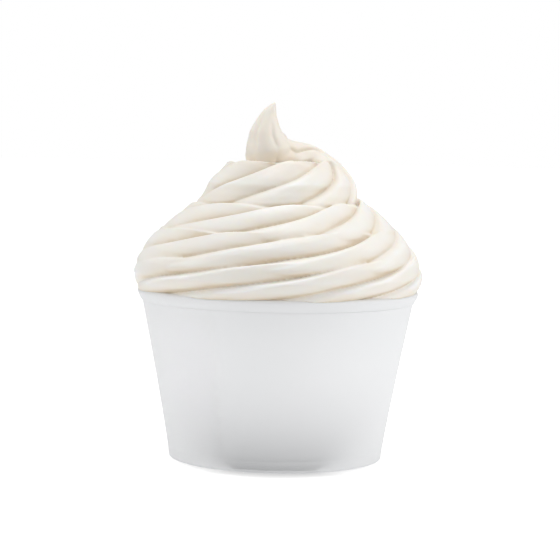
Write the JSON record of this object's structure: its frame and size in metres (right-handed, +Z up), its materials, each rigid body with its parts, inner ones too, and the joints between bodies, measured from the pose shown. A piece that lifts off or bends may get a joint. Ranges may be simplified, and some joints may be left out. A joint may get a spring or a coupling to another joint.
{
  "type": "frozen yogurt cup",
  "caption": "Plain white paper cup filled with frozen yogurt, topped with a tall star-piped soft-serve swirl that ends in a pulled-up tip.",
  "frame": {"origin": "on the cup's axis at the floor that it stands on", "axes": "+Z up along the cup's axis, -Y towards the front that the picture shows, +X to the viewer's right"},
  "size_m": [0.0985, 0.0984, 0.1215],
  "materials": {
    "cup_paper": "smooth white coated paper board, slight satin sheen",
    "yogurt": "warm cream-white soft-serve frozen yogurt, moist and softly glossy"
  },
  "bodies": {
    "root": {"cup_wall": "cup_paper", "cup_base": "cup_paper", "yogurt": "yogurt"}
  },
  "joints": []
}
